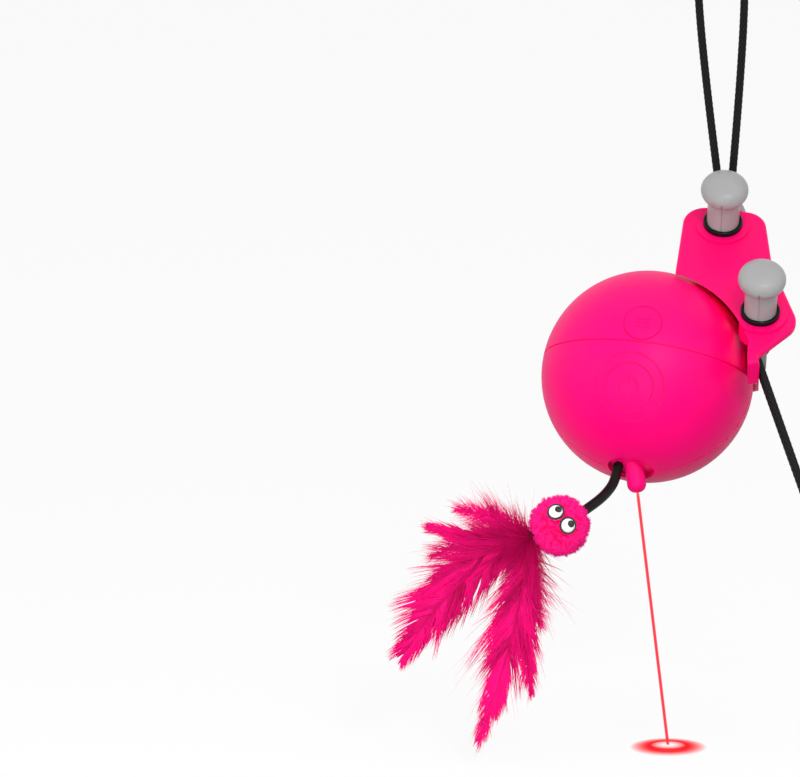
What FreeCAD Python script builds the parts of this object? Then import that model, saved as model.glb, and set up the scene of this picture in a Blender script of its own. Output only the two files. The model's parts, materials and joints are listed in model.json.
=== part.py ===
"""Automatic cat laser toy: a motor-driven globe on a strap bracket.

Millimetres.  +Z is up as the toy hangs from its elastic strap, +X is to the right, and
-Y is toward the person who looks at the power button.  The origin is the inside of the
crown of the upper strap loop, where a hook or door handle carries the toy.

Three local frames are used, each centred on the globe:
  globe frame    x right, y back, z the turret axis away from the nozzle
  bracket frame  x swivel axis outward, y row of the two knobs, z up the knobs
  hanging frame  parallel to the model's own axes
"""
import FreeCAD
import Part
import math
import os

V = FreeCAD.Vector

# ---------------------------------------------------------------- driving dimensions
GLOBE_R = 34.5            # outside radius of the globe
WALL = 1.5                # wall of the globe shells
SEAM = 0.08               # gap between neighbouring shell edges
GROOVE_W, GROOVE_D = 0.44, 0.32          # shadow groove along every seam of the globe
GLOBE_CENTRE = V(-23.5, -27.5, -132.0)   # below the hanging loop
GLOBE_UP = V(0.155, 0.6055, 0.7811)      # turret axis, away from the nozzle
GLOBE_BACK = V(0.0749, 0.7812, -0.6204)
KNOB_AXIS = V(0.030, -0.567, 0.8232)     # up the knobs
KNOB_ROW = V(-0.2832, 0.785, 0.551)      # from the near knob to the far knob
FRONT = V(-0.219, -0.666, 0.714)         # bracket frame: straight towards the front
FRONT_RIGHT = V(0.9585, -0.2832, 0.030)  # bracket frame: right, seen from the front

DOOR_TILT = 0.2           # forward lean of the seam under the battery door
DOOR_SEAM = 1.9           # height of that seam at the turret axis
PORT_R = 7.6              # turret opening at the lower pole
RUN_FIT = 0.05            # radial clearance of a running fit

SHELF_TOP = 30.0          # top of the shelf above the globe centre
SHELF_T = 2.2
SHELF_ROUND = 1.1         # radius along its upper edge
PLATE_OUT = 27.6          # outer face of the back plate
PLATE_T = 3.6
INNER_EDGE = 32.1         # straight inner edge of shelf and leg, seen from the front
OUTER_EDGE = 36.0         # the web stays left of this, seen from the front
DISH_GAP = 0.45           # gap between globe and the bracket round it
DISH_T = 1.5
HUB_R = 5.7
HUB_IN, HUB_OUT = 34.65, 36.3            # swivel hub, along the swivel axis
AXLE_SEAT = 35.5          # underside of the axle's sunk head
KNOB_X = 33.8             # both knobs, along the swivel axis
KNOB_FAR_Y = 32.3
KNOB_NEAR_Y = -9.9
SHAFT_R = 5.25
HEAD_R = 7.75
HEAD_HALF_H = 4.75
HEAD_Z = 46.0
COLLAR_R = 6.35
COLLAR_TOP = 32.1
BARREL_R = 6.0
BARREL_BOTTOM = 21.0
SLEEVE_R = 6.6            # pink sleeve round the near barrel
GROOVE_TURN = -24         # degrees, so that the knobs' grooves face the front
KNOB_TRAVEL = 2.4

OVAL_SIDE = 0.79          # radius of an oval's side arc, as a part of its half height

WIRE_SIDES = 8            # sides of a spring's wire

STRAP_D = 2.6
STRAP_R = STRAP_D / 2
STRAP_Z = 25.4            # height of the strap under the shelf

BUTTON_AZ, BUTTON_EL = -1.9, -33.3       # degrees from the front of the globe
BUTTON_R = 7.7
BEZEL_IN, BEZEL_OUT = 7.8, 11.15
LATCH_AZ, LATCH_EL = 1.0, 3.4
LATCH_R = 6.0

CELL_R, CELL_L = 5.25, 44.5              # AAA cell
CELL_Y = (-11.0, 0.0, 11.0)
CELL_Z = 8.9

GEAR_M = 0.5
PINION_N, WHEEL_N, TURRET_N = 12, 36, 40
STAGE = GEAR_M * (PINION_N + WHEEL_N) / 2
LAST_STAGE = GEAR_M * (PINION_N + TURRET_N) / 2
AXLE_R = 0.75

NOZZLE_R = 3.1
NOZZLE_AIM = V(0.240, 0.361, -0.9006)    # globe frame
NOZZLE_ROOT = V(0.6, 0.4, -31.4)
NOZZLE_TIP = 9.6          # from the root
NOZZLE_ROUND = 2.7        # radius of its rounded end
WAND_R = 1.65
SPOT_FACE = 34.2          # flat on the globe under the friction washer
POMPOM_R = 9.8
EYE_R = 2.75

# strap routes, corners of the polyline, in the model's own axes
UPPER_LOOP = [
    V(0.3, -0.6, -80.4), V(-9.8, 0.0, -5.4), V(-4.6, 0.0, 1.3),
    V(3.9, 0.0, 1.3), V(9.1, 0.0, -5.0), V(3.0, 0.4, -80.0)]
LOWER_LOOP = [
    V(11.74, -53.07, -121.0), V(27.8, -69.4, -164.0), V(29.6, -65.2, -169.9),
    V(29.6, -57.8, -171.3), V(27.8, -51.7, -167.4), V(12.03, -51.38, -123.25)]
# the same strap inside the bracket, bracket frame: two strands from far to near
INNER_STRANDS = [
    [V(36.2, 41.0, 25.4), V(32.4, 37.0, 25.4), V(32.4, -14.6, 25.4), V(28.6, -22.3, 26.0)],
    [V(39.1, 40.6, 25.4), V(35.2, 37.0, 25.4), V(35.2, -17.0, 25.4), V(32.8, -20.3, 23.6),
     V(29.0, -22.6, 23.0)]]

# wand, pompom and feathers, hanging frame
WAND_ROUTE = [
    V(-9.3, -19.2, -25.3), V(-10.2, -22.3, -29.8), V(-13.1, -26.6, -33.3),
    V(-17.4, -31.6, -36.0), V(-22.2, -35.8, -38.4)]
POMPOM_AT = V(-28.1, -40.8, -40.9)
EYES = {"left": V(-1.06, -7.59, 6.06), "right": V(2.8, -9.19, 2.0)}   # from the pompom's middle
TUFT_AT = V(-36.4, -41.5, -44.2)
FEATHERS = {
    # name: (tip, width, thickness)
    "feather_long_left": (V(-79.5, -57.5, -84.7), 17.0, 0.9),
    "feather_long_down": (V(-53.4, -74.6, -106.3), 19.0, 0.9),
    "feather_short_down": (V(-36.5, -63.5, -94.3), 16.0, 0.9),
    "plume_left": (V(-72.6, -40.0, -40.0), 17.0, 4.0),
    "plume_up": (V(-64.9, -36.0, -32.9), 14.0, 4.0),
}


# ---------------------------------------------------------------- small helpers
def unit(v):
    """The vector at length 1."""
    return V(v).normalize()


def frame(x, y, z, at=V(0, 0, 0)):
    """A placement whose axes are x, y and z."""
    m = FreeCAD.Matrix(x.x, y.x, z.x, at.x, x.y, y.y, z.y, at.y,
                       x.z, y.z, z.z, at.z, 0, 0, 0, 1)
    return FreeCAD.Placement(m)


def axes_from(z, near):
    """Three square axes: z as given, and x as near to the second vector as can be."""
    z = unit(z)
    x = unit(near - z * near.dot(z))
    return x, z.cross(x), z


def moved(shape, placement):
    """A copy of the shape, carried by the placement."""
    copy = shape.copy()
    copy.Placement = placement.multiply(copy.Placement)
    return copy


def cyl(radius, height, at=V(0, 0, 0), axis=V(0, 0, 1)):
    return Part.makeCylinder(radius, height, at, axis)


def tube(outer, inner, height, at=V(0, 0, 0), axis=V(0, 0, 1)):
    return cyl(outer, height, at, axis).cut(cyl(inner, height, at, axis))


def box(x0, x1, y0, y1, z0, z1):
    return Part.makeBox(x1 - x0, y1 - y0, z1 - z0, V(x0, y0, z0))


def ball(radius, at=V(0, 0, 0)):
    return Part.makeSphere(radius, at)


def slab(normal, start, end):
    """Wide block between two distances along a direction."""
    x, y, z = axes_from(normal, V(0, 1, 0))
    block = Part.makeBox(200, 200, end - start, V(-100, -100, start))
    return moved(block, frame(x, y, z))


def oval_knob(radius, half_height, at):
    """Ball squashed along z: a half oval of three tangent arcs, turned about z."""
    side = OVAL_SIDE * half_height
    k, d = radius - side, half_height - side
    c = (k * k - d * d) / (2 * d)
    big = half_height + c
    lean = math.atan2(k, c)
    rim = V(k + side * math.sin(lean), 0, side * math.cos(lean))
    crown = V(big * math.sin(lean / 2), 0, big * math.cos(lean / 2) - c)
    low_rim, low_crown = V(rim.x, 0, -rim.z), V(crown.x, 0, -crown.z)
    edges = [
        Part.Arc(V(0, 0, half_height), crown, rim).toShape(),
        Part.Arc(rim, V(radius, 0, 0), low_rim).toShape(),
        Part.Arc(low_rim, low_crown, V(0, 0, -half_height)).toShape(),
        Part.LineSegment(V(0, 0, -half_height), V(0, 0, half_height)).toShape()]
    solid = Part.Face(Part.Wire(edges)).revolve(V(0, 0, 0), V(0, 0, 1), 360)
    solid.translate(at)
    return solid


def union(shapes):
    first, rest = shapes[0], shapes[1:]
    return first.multiFuse(rest).removeSplitter() if rest else first


def bearing(azimuth, elevation):
    """Unit vector in the globe frame, from the front pole."""
    a, e = math.radians(azimuth), math.radians(elevation)
    return V(math.sin(a) * math.cos(e), -math.cos(a) * math.cos(e), math.sin(e))


def rounded_prism(corners, radii, z0, z1):
    """Prism of a polygon whose corners have the given radii."""
    edges = []
    starts, ends = [], []
    count = len(corners)
    for i in range(count):
        p, a, b = corners[i], corners[i - 1], corners[(i + 1) % count]
        u, w = unit(a - p), unit(b - p)
        half = u.getAngle(w) / 2
        back = radii[i] / math.tan(half) if radii[i] else 0
        starts.append(p + u * back)
        ends.append(p + w * back)
        if radii[i]:
            middle = p + unit(u + w) * (radii[i] / math.sin(half) - radii[i])
            edges.append(Part.Arc(starts[i], middle, ends[i]).toShape())
    for i in range(count):
        edges.append(Part.LineSegment(ends[i], starts[(i + 1) % count]).toShape())
    wire = Part.Wire(Part.__sortEdges__(edges))
    face = Part.Face(wire)
    face.translate(V(0, 0, z0))
    return face.extrude(V(0, 0, z1 - z0))


def cord(points, radius, name):
    """Tube along straight runs joined by tangent arcs, each as large as its runs allow."""
    edges, bends = [], []
    here = points[0]
    for i in range(1, len(points) - 1):
        p, a, b = points[i], points[i - 1], points[i + 1]
        u, w = unit(a - p), unit(b - p)
        turn = math.pi - u.getAngle(w)
        reach = 0.45 * min((a - p).Length, (b - p).Length)
        bends.append(reach / math.tan(turn / 2))
        start, end = p + u * reach, p + w * reach
        half = u.getAngle(w) / 2
        middle = p + unit(u + w) * (bends[-1] / math.sin(half) - bends[-1])
        edges.append(Part.LineSegment(here, start).toShape())
        edges.append(Part.Arc(start, middle, end).toShape())
        here = end
    edges.append(Part.LineSegment(here, points[-1]).toShape())
    path = Part.Wire(edges)
    ring = Part.Wire(Part.Circle(points[0], points[1] - points[0], radius).toShape())
    solid = path.makePipeShell([ring], True, True)
    ratio = solid.Volume / (math.pi * radius ** 2 * path.Length)
    print(name, "length", round(path.Length, 1), "radii", [round(r, 1) for r in bends],
          "volume ratio", round(ratio, 4))
    return solid


def coil(radius, wire, height, turns, at, axis=V(0, 0, 1)):
    """Compression spring of eight-sided wire, its outside radius and its free height given."""
    mid = radius - wire / 2
    pitch = (height - wire) / turns
    helix = Part.makeHelix(pitch, height - wire, mid)
    along = unit(V(0, mid, pitch / (2 * math.pi)))
    x = V(1, 0, 0)
    y = along.cross(x)
    ring = []
    for k in range(WIRE_SIDES):
        a = 2 * math.pi * (k + 0.5) / WIRE_SIDES
        ring.append(V(mid, 0, 0) + (x * math.cos(a) + y * math.sin(a)) * (wire / 2))
    profile = Part.makePolygon(ring + ring[:1])
    spring = Part.Wire(helix.Edges).makePipeShell([profile], True, True)
    spring.translate(V(0, 0, wire / 2))
    turn = FreeCAD.Rotation(V(0, 0, 1), axis)
    return moved(spring, FreeCAD.Placement(at, turn))


def gear(teeth, z0, z1, at, tooth_at, bore):
    """Spur gear with straight-flanked teeth and backlash; one tooth points at tooth_at."""
    pitch = GEAR_M * teeth / 2
    tip, root = pitch + 0.8 * GEAR_M, pitch - 1.15 * GEAR_M
    step = 2 * math.pi / teeth
    # half widths of a tooth, as parts of the step
    at_root, at_tip = 0.27, 0.10
    corners = []
    for i in range(teeth):
        middle = tooth_at + i * step
        for radius, offset in ((root, -at_root), (tip, -at_tip), (tip, at_tip), (root, at_root)):
            a = middle + offset * step
            corners.append(V(at.x + radius * math.cos(a), at.y + radius * math.sin(a), z0))
    face = Part.Face(Part.makePolygon(corners + corners[:1]))
    body = face.extrude(V(0, 0, z1 - z0))
    return body.cut(cyl(bore, z1 - z0, V(at.x, at.y, z0))) if bore else body


parts = {}

# ---------------------------------------------------------------- placements
KNOB_UP = unit(KNOB_AXIS)
SWIVEL_AXIS = unit(KNOB_ROW.cross(KNOB_UP))
TURRET_UP = unit(GLOBE_UP)
GLOBE_X = unit(GLOBE_BACK.cross(TURRET_UP))
BRACKET_PLACE = frame(SWIVEL_AXIS, KNOB_UP.cross(SWIVEL_AXIS), KNOB_UP, GLOBE_CENTRE)
GLOBE_PLACE = frame(GLOBE_X, TURRET_UP.cross(GLOBE_X), TURRET_UP, GLOBE_CENTRE)
HANGING_PLACE = FreeCAD.Placement(GLOBE_CENTRE, FreeCAD.Rotation())


def in_globe_frame(hanging_point):
    """A hanging-frame point in the globe frame."""
    return GLOBE_PLACE.inverse().multVec(GLOBE_CENTRE + hanging_point)


# ---------------------------------------------------------------- bracket frame
def outline_shelf():
    """Flat plate over the globe."""
    corners = [V(23.6, -30.2, 0), V(27.6, -30.2, 0), V(27.8, -27.4, 0), V(44.9, -17.2, 0),
               V(44.3, 11.5, 0), V(48.6, 34.4, 0), V(24.9, 44.7, 0), V(13.3, 16.8, 0), V(12.0, 0, 0)]
    radii = [0, 0.8, 0.8, 8.5, 20.0, 7.0, 7.5, 0.6, 0]
    flat = rounded_prism(corners, radii, SHELF_TOP - SHELF_T, SHELF_TOP)
    upper = [e for e in flat.Edges if e.BoundBox.ZMin > SHELF_TOP - 0.01]
    return flat.makeFillet(SHELF_ROUND, upper)


def front_recess():
    """Room for the globe's front, up to the straight inner edge of shelf and leg."""
    return cyl(GLOBE_R - 0.1, 80, V(0, 0, 0), FRONT).common(slab(FRONT_RIGHT, -60, INNER_EDGE))


def near_sleeve():
    """Short sleeve under the shelf round the near barrel, open where the strap runs."""
    top = SHELF_TOP - SHELF_T + 0.2
    sleeve = cyl(SLEEVE_R, top - BARREL_BOTTOM, V(KNOB_X, KNOB_NEAR_Y, BARREL_BOTTOM))
    opening = box(-4.7, 4.7, -9, 9, STRAP_Z - STRAP_R - 1.3, STRAP_Z + STRAP_R + 0.35)
    opening.translate(V(KNOB_X, KNOB_NEAR_Y, 0))
    return sleeve.cut(opening)


def bracket():
    """Shelf, back plate and round web in one moulding."""
    under = SHELF_TOP - SHELF_T + 0.4
    # outline of the web, seen along the swivel axis (y row of knobs, z up)
    corners = [V(-30.2, under, 0), V(-30.2, 19.0, 0), V(-19.0, 16.6, 0), V(-9.6, -8.2, 0),
               V(9.6, -8.2, 0), V(20.0, 12.0, 0), V(27.0, under, 0)]
    radii = [0, 2.4, 6.0, 8.5, 8.5, 20.0, 0]
    flat = rounded_prism(corners, radii, 0, 60)
    web = moved(flat, frame(V(0, 1, 0), V(0, 0, 1), V(1, 0, 0)))
    plate = web.common(box(PLATE_OUT - PLATE_T, PLATE_OUT, -40, 40, -20, 40))
    left_part = slab(FRONT_RIGHT, -60, OUTER_EDGE)
    round_web = web.common(ball(GLOBE_R + DISH_GAP + DISH_T)).common(left_part)
    round_web = round_web.cut(box(-60, PLATE_OUT - PLATE_T, -60, 60, -60, 60))
    shape = union([outline_shelf(), plate, round_web])
    knobs_at = (KNOB_FAR_Y, KNOB_NEAR_Y)
    inside_far_edge = slab(V(0.397, 0.918, 0), -60, 49.8)
    for y in knobs_at:
        ring = cyl(8.8, 0.72, V(KNOB_X, y, SHELF_TOP - 0.02))
        shape = shape.fuse(ring.common(inside_far_edge))
    shape = shape.cut(front_recess()).fuse(near_sleeve())
    shape = shape.cut(ball(GLOBE_R + DISH_GAP))
    hub = cyl(HUB_R, HUB_OUT - HUB_IN, V(HUB_IN, 0, 0), V(1, 0, 0)).common(left_part)
    # rib along the outer corner of shelf and plate
    rib = moved(rounded_prism([V(PLATE_OUT, under, 0), V(PLATE_OUT, 23.5, 0), V(30.6, under, 0)],
                              [0, 0, 0], 0, 1.4), frame(V(1, 0, 0), V(0, 0, 1), V(0, -1, 0)))
    ribs = [moved(rib, FreeCAD.Placement(V(0, y, 0), FreeCAD.Rotation())) for y in (-24.05, 4.0, 12.0)]
    shape = union([shape, hub] + ribs)
    for y in knobs_at:
        below = BARREL_BOTTOM - KNOB_TRAVEL - 1.0
        shape = shape.cut(cyl(SHAFT_R + 0.4, 20, V(KNOB_X, y, below)))
        shape = shape.cut(cyl(BARREL_R + 0.02, 20, V(KNOB_X, y, BARREL_BOTTOM - 0.1)))
        shape = shape.cut(cyl(COLLAR_R + 0.02, 5, V(KNOB_X, y, SHELF_TOP + 0.55)))
    shape = shape.cut(cyl(3.05, 20, V(30, 0, 0), V(1, 0, 0)))
    return shape.cut(cyl(4.02, 5, V(AXLE_SEAT, 0, 0), V(1, 0, 0)))


def lock(y, side):
    """One spring-loaded cord lock: barrel, collar, spring and knob."""
    at = V(KNOB_X, y, 0)
    bridge_z = STRAP_Z + STRAP_R + 0.35
    barrel = tube(BARREL_R, SHAFT_R + RUN_FIT, SHELF_TOP + 0.6 - BARREL_BOTTOM,
                  at + V(0, 0, BARREL_BOTTOM))
    window = box(-3.7, 3.7, -9, 9, STRAP_Z - STRAP_R - 0.3, bridge_z)
    bridge = box(-1.2, 1.2, -SHAFT_R - 0.5, SHAFT_R + 0.5, bridge_z, bridge_z + 1.8)
    flares = [box(-4.7, 4.7, y0, y0 + 3, STRAP_Z - STRAP_R - 1.3, bridge_z) for y0 in (-8.3, 5.3)]
    for piece in [window, bridge] + flares:
        piece.translate(at)
    barrel = barrel.cut(window).cut(flares[0]).cut(flares[1])
    parts["lock_barrel_" + side] = barrel.fuse(bridge).removeSplitter()

    collar = tube(COLLAR_R, SHAFT_R + 0.3, COLLAR_TOP - SHELF_TOP - 0.6,
                  at + V(0, 0, SHELF_TOP + 0.6))
    lip = Part.makeTorus(COLLAR_R - 0.5, 0.55, at + V(0, 0, COLLAR_TOP - 0.2))
    parts["collar_" + side] = collar.fuse(lip)

    bar_top = STRAP_Z - STRAP_R - 0.35
    shaft = cyl(SHAFT_R, HEAD_Z - bar_top + 2.6, at + V(0, 0, bar_top - 2.6))
    head = oval_knob(HEAD_R, HEAD_HALF_H, at + V(0, 0, HEAD_Z))
    knob = shaft.fuse(head)
    slot = box(-3.7, 3.7, -9, 9, bar_top, bridge_z + 1.8 + KNOB_TRAVEL + 0.4)
    slot.translate(at)
    bore = cyl(3.3, 13.2, at + V(0, 0, bridge_z))
    foot = Part.makeCone(SHAFT_R - 1.6, SHAFT_R + 1.4, 3.0, at + V(0, 0, bar_top - 2.6))
    knob = knob.cut(slot).cut(bore)
    lower = cyl(9, 3.0, at + V(0, 0, bar_top - 2.6)).cut(foot)
    groove = box(-0.15, 0.15, -9, -SHAFT_R + 0.25, COLLAR_TOP, HEAD_Z)
    groove = moved(groove, FreeCAD.Placement(at, FreeCAD.Rotation(V(0, 0, 1), GROOVE_TURN)))
    parts["knob_" + side] = knob.cut(lower).cut(groove).removeSplitter()

    spring_z = bridge_z + 1.85
    top = bridge_z + 13.2
    parts["lock_spring_" + side] = coil(2.9, 0.6, top - spring_z - 0.1, 7, at + V(0, 0, spring_z))


def strap_guides():
    """Far guide bar that turns the strap up, and the near eyelet."""
    bar = box(32.0, 43.6, 37.4, 42.5, STRAP_Z - 3.0, SHELF_TOP - SHELF_T)
    bar = bar.makeFillet(1.2, [e for e in bar.Edges if abs(e.tangentAt(e.FirstParameter).z) > 0.9])
    barrel = cyl(BARREL_R + 0.02, 20, V(KNOB_X, KNOB_FAR_Y, 15))
    parts["cord_guide"] = bar.cut(barrel)
    eye = box(26.9, 32.0, -24.0, -20.4, STRAP_Z - 6.2, SHELF_TOP - SHELF_T)
    parts["cord_eyelet"] = eye
    parts["bracket"] = parts["bracket"].cut(eye)


def swivel():
    """Axle with a flanged head, a retaining ring inside the globe, and a friction washer."""
    x0, x1 = AXLE_SEAT, 27.0
    axle = cyl(2.95, x0 - x1 + 0.2, V(x1, 0, 0), V(1, 0, 0))
    head = cyl(4.0, HUB_OUT - x0 - 0.05, V(x0, 0, 0), V(1, 0, 0))
    cross = [box(x0 + 0.4, x0 + 3, -2.2, 2.2, -0.4, 0.4), box(x0 + 0.4, x0 + 3, -0.4, 0.4, -2.2, 2.2)]
    neck = tube(4.0, 2.35, 1.0, V(29.4, 0, 0), V(1, 0, 0))
    parts["swivel_axle"] = axle.fuse(head).cut(cross[0]).cut(cross[1]).cut(neck).removeSplitter()
    parts["swivel_retainer"] = tube(4.6, 2.35, 0.9, V(29.45, 0, 0), V(1, 0, 0))
    parts["friction_washer"] = tube(4.5, 3.0, 0.32, V(SPOT_FACE + 0.08, 0, 0), V(1, 0, 0))


def build_bracket_frame():
    parts["bracket"] = bracket()
    lock(KNOB_FAR_Y, "far")
    lock(KNOB_NEAR_Y, "near")
    strap_guides()
    swivel()


# ---------------------------------------------------------------- globe frame
def shell(outer, inner):
    return ball(outer).cut(ball(inner))


def above_door_seam(offset):
    """Block over the seam between battery door and lower front shell."""
    normal = unit(V(0, -DOOR_TILT, 1))
    return slab(normal, DOOR_SEAM + offset, 50)


def plug(direction, radius, inner, outer):
    """Cylinder from the inner to the outer distance along a direction."""
    return cyl(radius, outer - inner, direction * inner, direction)


def seam_groove(normal, offset):
    """Band to cut from the globe's skin along the seam in a plane."""
    floor = math.sqrt((GLOBE_R - GROOVE_D) ** 2 - offset ** 2)
    return tube(GLOBE_R + 5, floor, GROOVE_W, normal * (offset - GROOVE_W / 2), normal)


def round_groove(shape, inner_radius, outer_radius, direction):
    """The shape with a ring cut from the globe's skin about a direction."""
    floor = math.sqrt(GLOBE_R ** 2 - inner_radius ** 2) - GROOVE_D
    ring = plug(direction, outer_radius, floor, 40).cut(plug(direction, inner_radius, floor - 1, 41))
    return shape.cut(ring)


BUTTON_DIR = bearing(BUTTON_AZ, BUTTON_EL)
LATCH_DIR = bearing(LATCH_AZ, LATCH_EL)
INNER_R = GLOBE_R - WALL
SCREW_AT = (-26.0, 26.0)
SCREW_Z = -13.0


def globe_shells(swivel_dir):
    """Rear shell, lower front shell and battery door, cut from one ball."""
    whole = shell(GLOBE_R, INNER_R).cut(cyl(PORT_R, 20, V(0, 0, -40)))
    side_groove = seam_groove(V(0, 1, 0), 0)
    door_groove = seam_groove(unit(V(0, -DOOR_TILT, 1)), DOOR_SEAM)
    rear = whole.common(box(-50, 50, SEAM / 2, 50, -50, 50))
    front = whole.common(box(-50, 50, -50, -SEAM / 2, -50, 50))
    bosses = [cyl(2.7, 18, V(x, 0.1, SCREW_Z), V(0, 1, 0)) for x in SCREW_AT]
    hub = plug(swivel_dir, 5.6, 30.6, GLOBE_R)
    inside = [b.common(ball(GLOBE_R - 0.1)) for b in bosses + [hub]]
    rear = union([rear] + inside)
    rear = rear.cut(plug(swivel_dir, 2.95 + RUN_FIT, 26, 40))
    rear = rear.cut(plug(swivel_dir, 6.0, SPOT_FACE, 40))
    for x in SCREW_AT:
        rear = rear.cut(cyl(1.2, 30, V(x, -1, SCREW_Z), V(0, 1, 0)))
        rear = rear.cut(cyl(2.3, 30, V(x, 6, SCREW_Z), V(0, 1, 0)))
    nick = Part.makeTorus(3.4, 0.5, V(0, 0, 0), V(0, 1, 0))
    nick = nick.common(box(-5, 0, -1, 1, -5, 5))
    nick.translate(V(32.0, 1.2, -17.0))
    parts["rear_shell"] = rear.cut(nick).cut(side_groove)

    door = front.common(above_door_seam(SEAM / 2))
    door = door.cut(plug(LATCH_DIR, LATCH_R + 0.1, 20, 40)).cut(side_groove).cut(door_groove)
    parts["battery_door"] = round_groove(door, LATCH_R, LATCH_R + GROOVE_W, LATCH_DIR)
    lower = front.cut(above_door_seam(-SEAM / 2))
    lower = lower.cut(plug(BUTTON_DIR, BEZEL_OUT + 0.05, 20, 40))
    lower = round_groove(lower, BEZEL_OUT, BEZEL_OUT + GROOVE_W / 2, BUTTON_DIR)
    lower = lower.cut(side_groove).cut(door_groove)
    posts = [cyl(2.7, 18, V(x, -18.1, SCREW_Z), V(0, 1, 0)).common(ball(GLOBE_R - 0.1)) for x in SCREW_AT]
    lower = union([lower] + posts)
    for x in SCREW_AT:
        lower = lower.cut(cyl(1.2, 9, V(x, -9, SCREW_Z), V(0, 1, 0)))
    parts["lower_front_shell"] = lower

    screws = []
    for x in SCREW_AT:
        screw = cyl(1.12, 14.6, V(x, -8.5, SCREW_Z), V(0, 1, 0))
        head = cyl(2.15, 1.6, V(x, 6.02, SCREW_Z), V(0, 1, 0))
        screws.append(screw.fuse(head))
    parts["shell_screws"] = Part.makeCompound(screws)


def front_controls():
    """Power button in its bezel, and the latch of the battery door."""
    ring = shell(GLOBE_R, INNER_R).common(plug(BUTTON_DIR, BEZEL_OUT, 20, 40))
    flange = shell(INNER_R - 0.05, INNER_R - 0.9).common(plug(BUTTON_DIR, BEZEL_OUT + 1.6, 20, 40))
    core = shell(INNER_R + 0.5, INNER_R - 0.9).common(plug(BUTTON_DIR, BEZEL_OUT - 0.1, 20, 40))
    ring = union([ring, flange, core]).cut(plug(BUTTON_DIR, BEZEL_IN, 20, 40))
    ring = round_groove(ring, BEZEL_OUT - GROOVE_W / 2, BEZEL_OUT + 1, BUTTON_DIR)
    parts["button_bezel"] = round_groove(ring, BUTTON_R, BEZEL_IN + GROOVE_W - 0.1, BUTTON_DIR)

    cap = shell(GLOBE_R, INNER_R - 0.4).common(plug(BUTTON_DIR, BUTTON_R, 20, 40))
    keeper = shell(INNER_R - 1.3, INNER_R - 2.2).common(plug(BUTTON_DIR, BUTTON_R + 1.0, 20, 40))
    neck = shell(INNER_R, INNER_R - 1.6).common(plug(BUTTON_DIR, BUTTON_R - 1.0, 20, 40))
    stem = plug(BUTTON_DIR, 1.9, 29.3, INNER_R)
    button = union([cap, keeper, neck, stem])
    x, y, z = axes_from(BUTTON_DIR, V(1, 0, 0))
    sign = tube(3.5, 2.75, 6, V(0, 0, 0)).cut(box(-1.3, 1.3, 0, 5, -1, 7))
    bar = box(-0.38, 0.38, 1.3, 4.2, 0, 6)
    mark = moved(sign.fuse(bar), frame(x, y, z, BUTTON_DIR * (GLOBE_R - 0.45)))
    parts["power_button"] = button.cut(mark)

    cap = shell(GLOBE_R, INNER_R - 0.4).common(plug(LATCH_DIR, LATCH_R, 20, 40))
    stem = plug(LATCH_DIR, 1.6, 24.0, INNER_R)
    x, y, z = axes_from(LATCH_DIR, V(1, 0, 0))
    ribs = []
    for step in (-1.5, 0.0, 1.5):
        rib = Part.makeBox(4.4, 0.6, 1.1, V(-2.2, step - 0.3, GLOBE_R - 0.95))
        ribs.append(moved(rib, frame(x, y, z)))
    parts["door_latch"] = union([cap, stem] + ribs)
    parts["latch_spring"] = coil(2.4, 0.5, 6.0, 5, LATCH_DIR * 17.8, LATCH_DIR)


def power_pack():
    """Cradle with three cells across the globe, their springs and contacts."""
    cradle = box(-25.5, 23.5, -17.0, 17.0, 2.3, 10.4)
    cells, springs, plates = [], [], []
    for i, y in enumerate(CELL_Y):
        cradle = cradle.cut(cyl(CELL_R + 0.12, 47.4, V(-24.6, y, CELL_Z), V(1, 0, 0)))
        cradle = cradle.cut(box(-24.6, 22.8, y - CELL_R + 0.4, y + CELL_R - 0.4, CELL_Z, 12))
        body = cyl(CELL_R, CELL_L - 0.8, V(-CELL_L / 2, y, CELL_Z), V(1, 0, 0))
        nub = cyl(1.9, 0.8, V(CELL_L / 2 - 0.8, y, CELL_Z), V(1, 0, 0))
        parts["battery_cell_%d" % (i + 1)] = body.fuse(nub)
        springs.append(coil(3.0, 0.4, 2.2, 2, V(-24.5, y, CELL_Z), V(1, 0, 0)))
        plates.append(cyl(3.6, 0.4, V(CELL_L / 2 + 0.08, y, CELL_Z), V(1, 0, 0)))
    parts["battery_cradle"] = cradle
    parts["battery_springs"] = Part.makeCompound(springs)
    parts["battery_contacts"] = Part.makeCompound(plates)


def electronics():
    """Circuit board behind the power button, and its push switch."""
    x, y, z = axes_from(BUTTON_DIR, V(1, 0, 0))
    board = Part.makeBox(25, 15, 1.2, V(-12.5, -7.5, 23.4))
    chips = [Part.makeBox(5, 4, 1.1, V(-11, -5.5, 24.6)), Part.makeBox(2.4, 3, 1.4, V(6.5, 1, 24.6))]
    board = union([board] + chips)
    switch = Part.makeBox(6, 6, 3.2, V(-3, -3, 24.6)).fuse(cyl(1.7, 0.5, V(0, 0, 27.8)))
    parts["circuit_board"] = moved(board, frame(x, y, z))
    parts["push_switch"] = moved(switch, frame(x, y, z))


# gear train, globe frame: motor, compound gear a, compound gear b, turret
AT_B = V(LAST_STAGE, 0, 0)
DIR_BA, DIR_AM = math.radians(100), math.radians(170)
AT_A = AT_B + V(math.cos(DIR_BA), math.sin(DIR_BA), 0) * STAGE
AT_M = AT_A + V(math.cos(DIR_AM), math.sin(DIR_AM), 0) * STAGE
PLATE_TOP_Z, PLATE_LOW_Z = -15.0, -25.4


def meshing(teeth, towards):
    """Angle of a tooth when the wheel's gap points towards its neighbour."""
    return towards + math.pi / teeth


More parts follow.
